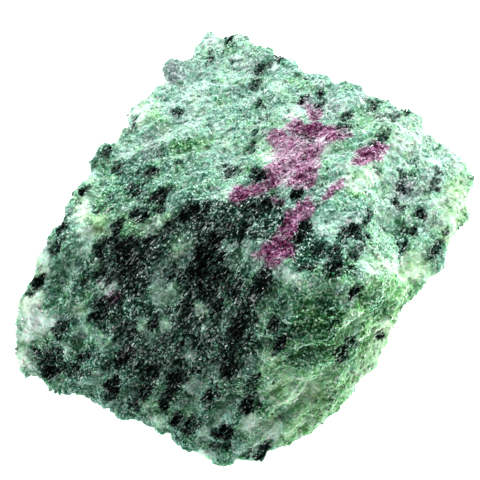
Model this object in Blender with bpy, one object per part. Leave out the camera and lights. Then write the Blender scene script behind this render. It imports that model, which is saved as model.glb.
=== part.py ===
"""A rough block of ruby in zoisite, about 57 x 59 x 25 mm.

The block is one solid, broken on all sides.  A broad upper face leans back to
the left, a steep front face and a front right face meet at the front tip, and
the back and the sides are short undercut breaks.  The underside is nearly flat
and the block rests on it.  The rock is foliated: its grains and ledges all run
from the back right down to the front left.

Lengths are in millimetres until the mesh is made.  +Z is up, +Y is the back,
and the origin ends up on the ground under the middle of the block.
"""

import bmesh
import bpy
from mathutils import Matrix, Vector, noise
from mathutils.geometry import delaunay_2d_cdt

MM = 0.001

# The rim: the block's outline seen from straight above, anticlockwise, each
# corner with its height, as (x, y, z).
RIM_FRONT_RIGHT = [
    (3.2, -25.4, 0.0), (4.2, -23.9, 1.5), (6.2, -23.1, 3.0), (8.7, -22.2, 3.5),
    (11.0, -21.0, 4.5), (13.7, -17.9, 6.0), (17.0, -13.9, 9.0), (18.9, -11.2, 11.0),
    (20.4, -9.4, 13.5), (21.8, -8.1, 15.5),
]
RIM_RIGHT = [
    (24.9, -4.7, 17.0), (28.3, 1.0, 18.0), (29.0, 4.4, 18.5), (28.4, 6.8, 19.0),
    (27.5, 8.1, 20.0), (25.9, 8.7, 21.0), (23.9, 9.7, 21.5),
]
RIM_BACK = [
    (21.0, 12.8, 21.5), (19.5, 16.5, 21.0), (14.0, 19.2, 20.0), (10.3, 21.3, 19.0),
    (7.4, 23.4, 18.5), (5.6, 26.5, 17.5), (3.1, 29.3, 16.5), (0.0, 32.0, 15.5),
    (-4.9, 34.3, 14.0),
]
RIM_LEFT = [
    (-6.3, 31.6, 14.0), (-8.2, 28.6, 14.0), (-11.8, 23.4, 14.3), (-13.4, 20.9, 14.5),
    (-16.2, 13.9, 15.3), (-18.2, 12.0, 15.5), (-20.4, 4.6, 16.3), (-22.5, 0.5, 16.5),
    (-25.8, -4.6, 13.6), (-27.8, -8.3, 10.5), (-28.7, -11.9, 5.0),
]
RIM_FRONT_LEFT = [
    (-27.9, -13.1, 3.0), (-24.9, -14.3, 2.0), (-17.5, -17.3, 1.0), (-11.2, -19.6, 1.0),
    (-8.0, -20.6, 1.0), (-6.6, -22.2, 0.5), (-4.3, -24.0, 0.0), (-1.5, -24.9, 0.0),
]
RIM = RIM_FRONT_RIGHT + RIM_RIGHT + RIM_BACK + RIM_LEFT + RIM_FRONT_LEFT
RIM_EDGE = 0.6

# The crest between the upper face and the two front faces, from left to right,
# the blunt edge from its foremost corner down to the front tip, and the
# shoulder across the front left face, where it turns steep.
CREST = [
    (-15.6, -2.3, 19.0), (-6.0, -0.9, 21.5), (0.6, -4.5, 23.3), (3.9, -12.5, 25.5),
    (11.1, -13.9, 25.0), (17.2, -11.9, 21.5),
]
CREST_CORNER = 3
FRONT_EDGE = [(3.2, -18.2, 14.0), (2.6, -22.6, 5.5)]
SHOULDER = [(-3.0, -15.6, 14.5), (-10.0, -12.9, 13.5), (-19.0, -9.8, 12.5)]

# Three corners that keep the upper face full.
UPPER_FACE = [(14.0, 3.0, 24.2), (4.0, 12.0, 20.8), (-9.0, 10.0, 18.0)]

# The outline of the underside, on the ground, anticlockwise, as (x, y).
FOOT = [
    (-1.5, -23.4), (2.0, -23.0), (7.5, -19.5), (12.5, -14.5), (16.0, -8.5),
    (20.0, -1.5), (22.5, 4.5), (20.5, 9.5), (15.0, 15.0), (8.5, 19.5),
    (3.0, 25.5), (-2.0, 30.0), (-5.5, 27.5), (-9.0, 22.0), (-13.0, 15.0),
    (-17.0, 8.0), (-19.5, 1.0), (-22.5, -5.0), (-25.0, -9.5), (-24.0, -12.5),
    (-16.5, -15.5), (-9.0, -18.5), (-5.0, -22.0),
]

# Knobs that stand out of the left edge, as (x, y, z, radius).
KNOBS = [
    (-8.5, 26.5, 14.0, 2.2), (-19.8, 5.0, 16.0, 1.2), (-17.0, 11.4, 15.2, 1.5),
]

# The foliation: grains are long along GRAIN and thin along ACROSS.
GRAIN = Vector((0.67, 0.61, 0.42)).normalized()
ACROSS = Vector((0.74, -0.55, -0.38)).normalized()
THIRD = GRAIN.cross(ACROSS)
GRAIN_STRETCH = 1.7
ACROSS_STRETCH = 0.8

# Relief of the broken faces: how wide each form is and how far it moves the skin.
# A ledge rises slowly over its step and drops in the last LEDGE_DROP of it.
SWELL_WIDTH, SWELL_DEPTH = 13.0, 1.1
LUMP_WIDTH, LUMP_DEPTH = 5.0, 0.75
LEDGE_STEP, LEDGE_DEPTH, LEDGE_DROP, LEDGE_WANDER = 4.6, 0.8, 0.25, 0.9
CHIP_WIDTH, CHIP_DEPTH = 2.6, 0.5
WANDER_SHIFT = Vector((7.0, 3.0, 1.0))
LUMP_SHIFT = Vector((2.0, 5.0, 9.0))

# Narrow corners of the rim, as (x, y, z, radius).  The relief is low there, so that
# the upper and the lower face don't cross.
NARROW_CORNERS = [(-27.0, -9.2, 7.5, 7.5), (28.2, 6.0, 18.8, 4.0)]
NARROW_FADE = 3.0
NARROW_RELIEF = 0.2

# The flat land in the underside that the block rests on, how far it takes to fade
# into the pits around it, and how far the underside is pressed flat.
LAND_CENTRE = Vector((-1.0, -1.0))
LAND_RADIUS, LAND_FADE = 8.0, 5.0
FOOT_PRESS = 0.25
DOWNWARD = -0.7

# The skin's working grid, the smoothing that blunts its edges, and the growth
# that gives back what the smoothing takes.
VOXEL = 0.62
WEAR_ROUNDS, WEAR = 6, 0.6
REGAIN = 0.25

# How many flat faces the finished block has, and the height under which its
# corners lie on the ground.
TRIANGLES = 9600
GROUNDED = 0.03


def start_empty():
    for thing in list(bpy.data.objects):
        bpy.data.objects.remove(thing, do_unlink=True)


def skin(bm, rim, inner, folds, upwards):
    """Triangles over the rim's plan, through the inner corners and along the folds."""
    corners = rim + inner
    count = len(rim)
    edges = [(i, (i + 1) % count) for i in range(count)]
    edges += [(count + a, count + b) for a, b in folds]
    plan = [Vector((corner.co.x, corner.co.y)) for corner in corners]
    only_inside = 1
    closest = 1e-6
    _, _, faces, sources, _, _ = delaunay_2d_cdt(plan, edges, [], only_inside, closest)
    for face in faces:
        ring = [corners[sources[i][0]] for i in face]
        bm.faces.new(ring if upwards else ring[::-1])


def upper_folds():
    """The crest, the front edge and the shoulder, as pairs of inner corners."""
    edge = len(CREST)
    shoulder = edge + len(FRONT_EDGE)
    folds = [(i, i + 1) for i in range(len(CREST) - 1)]
    folds += [(CREST_CORNER, edge), (edge, edge + 1), (edge, shoulder)]
    folds += [(shoulder + i, shoulder + i + 1) for i in range(len(SHOULDER) - 1)]
    return folds


def block_mesh():
    """The block with plain faces: an upper and a lower skin, joined by the rim's edge."""
    bm = bmesh.new()
    rim = [bm.verts.new(place) for place in RIM]
    under_rim = [bm.verts.new((x, y, z - RIM_EDGE)) for x, y, z in RIM]
    inner = [bm.verts.new(place) for place in CREST + FRONT_EDGE + SHOULDER + UPPER_FACE]
    foot = [bm.verts.new((x, y, 0.0)) for x, y in FOOT]
    around_foot = [(i, (i + 1) % len(foot)) for i in range(len(foot))]
    skin(bm, rim, inner, upper_folds(), upwards=True)
    skin(bm, under_rim, foot, around_foot, upwards=False)
    for i in range(len(rim)):
        bm.faces.new((rim[i - 1], under_rim[i - 1], under_rim[i], rim[i]))
    for x, y, z, radius in KNOBS:
        place = Matrix.Translation((x, y, z))
        bmesh.ops.create_icosphere(bm, subdivisions=2, radius=radius, matrix=place)
    mesh = bpy.data.meshes.new("stone")
    bm.to_mesh(mesh)
    bm.free()
    return mesh


def apply_modifiers(stone):
    depsgraph = bpy.context.evaluated_depsgraph_get()
    mesh = bpy.data.meshes.new_from_object(stone.evaluated_get(depsgraph))
    stone.modifiers.clear()
    stone.data = mesh


def in_grain_space(place):
    return Vector((
        place.dot(GRAIN) / GRAIN_STRETCH,
        place.dot(ACROSS) / ACROSS_STRETCH,
        place.dot(THIRD),
    ))


def ledges(place):
    """Steps across the foliation: a slow rise and a short drop in each step."""
    wander = LEDGE_WANDER * noise.noise(place / SWELL_WIDTH + WANDER_SHIFT)
    phase = (place.dot(ACROSS) / LEDGE_STEP + wander) % 1.0
    if phase < 1.0 - LEDGE_DROP:
        return phase / (1.0 - LEDGE_DROP) - 0.5
    return (1.0 - phase) / LEDGE_DROP - 0.5


def chips(place):
    """Broken grains that stand out of the skin, each with flat sides."""
    spot = in_grain_space(place) / CHIP_WIDTH
    distances, _ = noise.voronoi(spot, distance_metric="MANHATTAN")
    return CHIP_DEPTH * (1.0 - 2.0 * distances[0])


def relief_share(place):
    """1 where the relief is whole, NARROW_RELIEF in the narrow corners of the rim."""
    share = 1.0
    for x, y, z, radius in NARROW_CORNERS:
        inside = (radius - (place - Vector((x, y, z))).length) / NARROW_FADE
        share -= (1.0 - NARROW_RELIEF) * min(max(inside, 0.0), 1.0)
    return share


def relief(place):
    swell = noise.noise(place / SWELL_WIDTH)
    lump = noise.noise(in_grain_space(place) / LUMP_WIDTH + LUMP_SHIFT)
    forms = (
        SWELL_DEPTH * swell
        + LUMP_DEPTH * lump
        + LEDGE_DEPTH * ledges(place)
        + chips(place)
    )
    return REGAIN + relief_share(place) * forms


def land_share(place):
    """0 on the flat land under the block, 1 away from it."""
    distance = (place.xy - LAND_CENTRE).length
    share = (distance - LAND_RADIUS) / LAND_FADE
    return min(max(share, 0.0), 1.0)


def roughen(mesh):
    """Move the skin in and out by the relief, and keep the block on the ground."""
    normals = [vertex.normal.copy() for vertex in mesh.vertices]
    for vertex, normal in zip(mesh.vertices, normals):
        place = vertex.co.copy()
        depth = relief(place)
        if place.z < VOXEL and normal.z < DOWNWARD:
            depth = depth * land_share(place) + FOOT_PRESS
        place += normal * depth
        place.z = max(place.z, 0.0)
        vertex.co = place


def settle(mesh):
    """Set the lands flat on the ground and the origin under the middle."""
    for vertex in mesh.vertices:
        if vertex.co.z < GROUNDED:
            vertex.co.z = 0.0
    xs = [vertex.co.x for vertex in mesh.vertices]
    ys = [vertex.co.y for vertex in mesh.vertices]
    middle = Vector(((min(xs) + max(xs)) / 2, (min(ys) + max(ys)) / 2, 0.0))
    mesh.transform(Matrix.Scale(MM, 4) @ Matrix.Translation(-middle))


def stone_material():
    material = bpy.data.materials.new("zoisite_rock")
    material.use_nodes = True
    shader = material.node_tree.nodes["Principled BSDF"]
    shader.inputs["Base Color"].default_value = (0.16, 0.32, 0.23, 1.0)
    shader.inputs["Roughness"].default_value = 0.5
    shader.inputs["Metallic"].default_value = 0.0
    return material


def make_stone():
    stone = bpy.data.objects.new("stone", block_mesh())
    bpy.context.scene.collection.objects.link(stone)
    remesh = stone.modifiers.new("even_skin", "REMESH")
    remesh.mode = "VOXEL"
    remesh.voxel_size = VOXEL
    wear = stone.modifiers.new("blunt_edges", "SMOOTH")
    wear.iterations = WEAR_ROUNDS
    wear.factor = WEAR
    apply_modifiers(stone)
    roughen(stone.data)
    triangles = sum(len(face.vertices) - 2 for face in stone.data.polygons)
    thin = stone.modifiers.new("fewer_faces", "DECIMATE")
    thin.ratio = TRIANGLES / triangles
    thin.use_collapse_triangulate = True
    apply_modifiers(stone)
    settle(stone.data)
    stone.data.shade_flat()
    stone.data.materials.clear()
    stone.data.materials.append(stone_material())
    return stone


start_empty()
make_stone()
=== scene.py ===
"""The looks of a rough block of ruby in zoisite.

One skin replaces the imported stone: the same solid with its broken grains as real
facets.  Loose-edged grains of each mineral stand out of it.  Green zoisite is
sugary and lets some light in, black hornblende lies in streaks along the
foliation, and a magenta ruby vein crosses the upper face.

The markings of the side that the camera sees are laid out in pixels of the
480 x 480 picture and cast on the stone along the view.  The other sides get
markings of the same kind from noise in the stone's own space.
"""

import math

import bmesh
import bpy
import numpy as np
from mathutils import Matrix, Vector, kdtree, noise


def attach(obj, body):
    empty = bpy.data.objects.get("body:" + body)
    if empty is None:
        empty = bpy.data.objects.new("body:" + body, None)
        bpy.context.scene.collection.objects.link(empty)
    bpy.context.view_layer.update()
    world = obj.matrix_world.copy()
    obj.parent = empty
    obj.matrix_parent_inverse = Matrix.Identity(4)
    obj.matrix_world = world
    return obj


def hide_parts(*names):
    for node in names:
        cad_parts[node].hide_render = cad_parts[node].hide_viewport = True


MM = 0.001

# The camera, as a lens and a distance from the point it looks at.
PICTURE = 480
LENS_MM, SENSOR_MM = 100.0, 36.0
VIEW_ELEVATION = math.radians(55.0)
VIEW_DISTANCE = 167.0 * MM
VIEW_TARGET = np.array((-0.3, -4.25, 12.0)) * MM
PIXELS_PER_TANGENT = LENS_MM / SENSOR_MM * PICTURE
VIEW_FORWARD = np.array((0.0, math.cos(VIEW_ELEVATION), -math.sin(VIEW_ELEVATION)))
VIEW_RIGHT = np.array((1.0, 0.0, 0.0))
VIEW_UP = np.array((0.0, math.sin(VIEW_ELEVATION), math.cos(VIEW_ELEVATION)))
VIEW_EYE = VIEW_TARGET - VIEW_DISTANCE * VIEW_FORWARD

# The foliation: grains are long along GRAIN and thin along ACROSS.
STREAK = math.radians(48.0)
GRAIN = VIEW_RIGHT * math.cos(STREAK) + VIEW_UP * math.sin(STREAK)
ACROSS = VIEW_RIGHT * math.sin(STREAK) - VIEW_UP * math.cos(STREAK)
THIRD = np.cross(GRAIN, ACROSS)
GRAIN_STRETCH, ACROSS_SQUEEZE = 1.8, 0.75

# Hornblende on the seen side, as (x, y, half length, half width, turn, strength):
# pixels, degrees from the picture's right, and how much of the rock it takes.
HORNBLENDE = [
    # the upper left face and the back corner
    (175, 70, 10, 9, 0, 0.28), (210, 57, 14, 3, 65, 0.65), (228, 40, 7, 6, 10, 0.70),
    (204, 48, 4, 3, 48, 0.35), (231, 62, 3, 3, 0, 0.60), (255, 86, 7, 5, 40, 0.62),
    (262, 70, 10, 7, 40, 0.60), (279, 57, 8, 5, 130, 0.72), (208, 95, 5, 4, 48, 0.55),
    (180, 111, 6, 6, 50, 0.60), (155, 125, 6, 4, 60, 0.30), (211, 126, 4, 3, 48, 0.50),
    (222, 118, 4, 3, 48, 0.45), (134, 125, 10, 3, 65, 0.55), (126, 133, 5, 4, 45, 0.45),
    (146, 97, 6, 3, 20, 0.50), (275, 94, 5, 4, 30, 0.32), (260, 104, 5, 4, 30, 0.65),
    (266, 118, 6, 4, 70, 0.55), (254, 136, 5, 4, 60, 0.60), (251, 148, 8, 5, 75, 0.85),
    (257, 174, 8, 7, 50, 1.00), (231, 171, 9, 5, 20, 0.65),
    # the upper right face
    (297, 76, 4, 3, 48, 0.50), (303, 99, 6, 4, 60, 0.60), (319, 95, 5, 4, 20, 0.62),
    (319, 105, 9, 6, 60, 0.58), (347, 118, 8, 5, 10, 0.75), (344, 128, 8, 5, 20, 0.80),
    (374, 108, 7, 5, 30, 0.66), (404, 109, 8, 4, 130, 0.62), (389, 118, 11, 4, 10, 0.50),
    (383, 134, 10, 7, 40, 0.60), (379, 138, 7, 3, 20, 0.95), (371, 142, 6, 4, 20, 0.55),
    (416, 160, 5, 4, 20, 0.72), (401, 177, 5, 4, 80, 0.70), (377, 170, 5, 5, 20, 0.45),
    (399, 204, 8, 5, 150, 0.60), (401, 187, 5, 4, 10, 0.70), (438, 173, 6, 4, 80, 0.74),
    (434, 186, 8, 5, 70, 0.76), (443, 232, 5, 4, 60, 0.65), (414, 190, 9, 7, 50, 0.28),
    (419, 214, 8, 7, 60, 0.95), (412, 232, 6, 5, 60, 0.70), (402, 232, 8, 5, 80, 0.52),
    (403, 248, 8, 4, 75, 0.80), (396, 244, 4, 3, 48, 0.60), (355, 233, 11, 6, 165, 1.00),
    (340, 242, 9, 5, 30, 0.60), (357, 254, 6, 5, 60, 0.80), (362, 243, 6, 5, 60, 0.66),
    (368, 218, 9, 5, 80, 0.70), (366, 235, 6, 5, 60, 0.55), (334, 268, 12, 7, 48, 1.00),
    (333, 252, 9, 7, 50, 0.80), (318, 247, 7, 6, 60, 0.70), (355, 292, 8, 6, 40, 0.95),
    (435, 251, 11, 6, 60, 0.66), (421, 280, 9, 3, 55, 0.36), (406, 300, 16, 4, 58, 0.42),
    (381, 335, 5, 3, 50, 0.75), (353, 343, 8, 6, 30, 0.95), (343, 354, 11, 5, 25, 0.72),
    (297, 196, 6, 5, 50, 0.80),
    # the left edge
    (105, 152, 9, 8, 40, 0.56), (95, 165, 6, 4, 50, 0.36), (117, 168, 9, 4, 55, 0.66),
    (82, 190, 5, 5, 0, 0.70), (76, 204, 4, 4, 0, 0.55), (62, 224, 10, 5, 60, 0.90),
    (56, 246, 11, 5, 60, 0.85), (39, 282, 9, 5, 70, 0.85), (36, 354, 5, 6, 0, 0.60),
    (30, 293, 4, 4, 48, 0.90), (19, 302, 4, 3, 48, 0.85),
    # the middle, from the left edge to the ruby
    (163, 152, 8, 5, 70, 0.55), (151, 150, 10, 8, 50, 0.32), (177, 163, 7, 4, 20, 0.50),
    (192, 162, 4, 3, 48, 0.55), (153, 172, 8, 6, 30, 0.80), (134, 191, 8, 7, 20, 0.95),
    (145, 184, 11, 4, 15, 0.60), (159, 196, 9, 7, 30, 0.95), (158, 210, 10, 4, 35, 0.68),
    (95, 213, 9, 4, 20, 0.50), (169, 189, 6, 3, 50, 0.75), (140, 213, 8, 7, 30, 0.90),
    (112, 211, 8, 5, 20, 0.50), (114, 235, 15, 6, 57, 1.00), (122, 246, 10, 8, 40, 0.88),
    (98, 250, 9, 7, 40, 0.85), (127, 266, 32, 20, 25, 0.68), (192, 212, 15, 9, 20, 0.92),
    (165, 232, 12, 6, 50, 0.50), (172, 276, 8, 4, 50, 0.45), (202, 264, 28, 12, 75, 1.00),
    (202, 226, 9, 6, 50, 0.75), (210, 244, 12, 11, 60, 0.88), (217, 258, 9, 6, 50, 0.95),
    (244, 232, 10, 8, 40, 0.85), (247, 210, 12, 6, 20, 0.72), (228, 218, 18, 8, 20, 0.42),
    (263, 208, 9, 8, 60, 1.00), (266, 238, 6, 5, 40, 0.60), (303, 230, 13, 7, 65, 1.00),
    (278, 208, 9, 6, 30, 0.50), (189, 305, 14, 7, 75, 0.95), (184, 276, 10, 6, 60, 0.76),
    (212, 285, 24, 14, 60, 0.60),
    # below the crest
    (259, 285, 18, 9, 60, 1.00), (248, 309, 11, 7, 60, 0.92), (236, 328, 14, 9, 60, 1.00),
    (236, 292, 9, 6, 60, 0.95), (229, 288, 12, 5, 50, 0.75), (219, 307, 10, 8, 40, 0.90),
    (232, 347, 14, 11, 50, 0.95), (250, 342, 9, 6, 60, 0.80), (229, 370, 12, 9, 50, 0.90),
    (279, 344, 13, 5, 50, 0.70), (272, 325, 10, 6, 60, 0.72), (104, 304, 11, 7, 20, 0.66),
    (100, 316, 12, 5, 15, 0.85), (61, 328, 13, 8, 60, 0.65), (51, 364, 15, 12, 70, 0.88),
    (86, 356, 7, 6, 50, 0.75), (125, 358, 13, 10, 45, 0.75), (127, 325, 11, 8, 50, 0.60),
    (113, 389, 12, 10, 50, 0.90), (152, 374, 13, 9, 50, 0.90), (145, 391, 10, 7, 50, 0.85),
    (178, 380, 13, 9, 30, 0.85), (204, 345, 10, 5, 60, 0.85), (188, 331, 7, 4, 55, 0.70),
    (155, 323, 9, 5, 60, 0.85), (163, 342, 13, 8, 30, 0.50), (71, 368, 10, 9, 40, 0.55),
    (195, 370, 8, 5, 10, 0.85), (212, 396, 10, 8, 50, 0.72), (229, 390, 5, 5, 48, 0.50),
    (252, 384, 12, 5, 55, 0.66), (250, 404, 13, 6, 55, 0.95), (169, 397, 18, 7, 70, 0.90),
    (175, 421, 7, 6, 60, 0.95), (191, 424, 13, 9, 60, 0.60), (226, 432, 9, 8, 40, 1.00),
    (225, 447, 5, 4, 48, 0.80), (212, 445, 6, 5, 48, 0.60), (263, 450, 11, 5, 60, 0.95),
    (248, 453, 6, 4, 48, 0.65), (280, 415, 6, 5, 48, 0.45), (308, 267, 10, 4, 20, 0.85),
    (134, 406, 8, 6, 20, 0.85), (84, 372, 6, 8, 80, 0.60), (263, 405, 4, 7, 80, 0.50),
]

# Broad areas where black needles are scattered through the darker green, likewise.
SCATTER = [
    (170, 345, 90, 50, 20, 0.40), (215, 300, 60, 50, 48, 0.46), (140, 262, 70, 36, 20, 0.46),
    (225, 235, 60, 30, 10, 0.44), (248, 320, 24, 60, 0, 0.36), (110, 340, 60, 50, 0, 0.36),
    (180, 410, 60, 30, 150, 0.36), (150, 182, 45, 22, 20, 0.34), (340, 262, 24, 22, 0, 0.34),
]

# Ruby, in the same terms.
RUBY = [
    (277, 251, 18, 11, 30, 1.00), (297, 219, 22, 9, 52, 1.00), (332, 192, 14, 4, 50, 0.66),
    (301, 168, 20, 15, 60, 0.72), (290, 150, 16, 11, 40, 0.66), (272, 176, 16, 10, 45, 0.70),
    (242, 195, 11, 8, 20, 0.95), (259, 188, 12, 8, 20, 0.60), (312, 149, 12, 8, 20, 0.66),
    (318, 132, 27, 7, 175, 0.85), (294, 127, 12, 6, 20, 0.66), (315, 113, 9, 7, 60, 0.55),
    (293, 117, 8, 5, 10, 0.26), (277, 139, 12, 9, 100, 0.66), (306, 104, 7, 5, 20, 0.35),
    (373, 150, 16, 6, 10, 0.95), (366, 159, 14, 4, 12, 0.80), (305, 186, 12, 6, 30, 0.50),
    (274, 205, 10, 6, 20, 0.45), (113, 298, 9, 6, 45, 0.50), (128, 355, 10, 6, 45, 0.50),
]

# Grey and lilac rock, where the minerals are finely mixed, in the same terms.
HAZE = [
    (175, 70, 13, 12, 0, 0.9), (248, 67, 12, 10, 30, 0.6), (366, 96, 11, 8, 20, 0.8),
    (389, 118, 13, 6, 10, 0.7), (409, 187, 12, 14, 40, 0.8), (151, 150, 10, 9, 50, 0.6),
    (330, 110, 9, 12, 60, 0.6), (288, 141, 12, 7, 20, 0.7), (262, 190, 14, 8, 20, 0.7),
    (231, 170, 11, 7, 20, 0.6), (352, 218, 9, 7, 40, 0.5), (362, 243, 7, 6, 40, 0.7),
    (106, 286, 10, 8, 40, 0.3), (193, 388, 9, 10, 60, 0.25), (232, 350, 14, 12, 50, 0.2),
    (50, 358, 18, 14, 60, 0.3), (140, 262, 24, 16, 30, 0.3), (417, 152, 6, 7, 0, 0.5),
    (235, 205, 22, 8, 20, 0.5), (300, 180, 24, 20, 40, 0.4), (396, 210, 10, 5, 10, 0.5),
    (180, 250, 90, 45, 20, 0.45), (190, 340, 70, 50, 0, 0.40), (323, 142, 8, 6, 10, 0.40),
    (30, 335, 14, 14, 0, 0.15),
]

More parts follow.
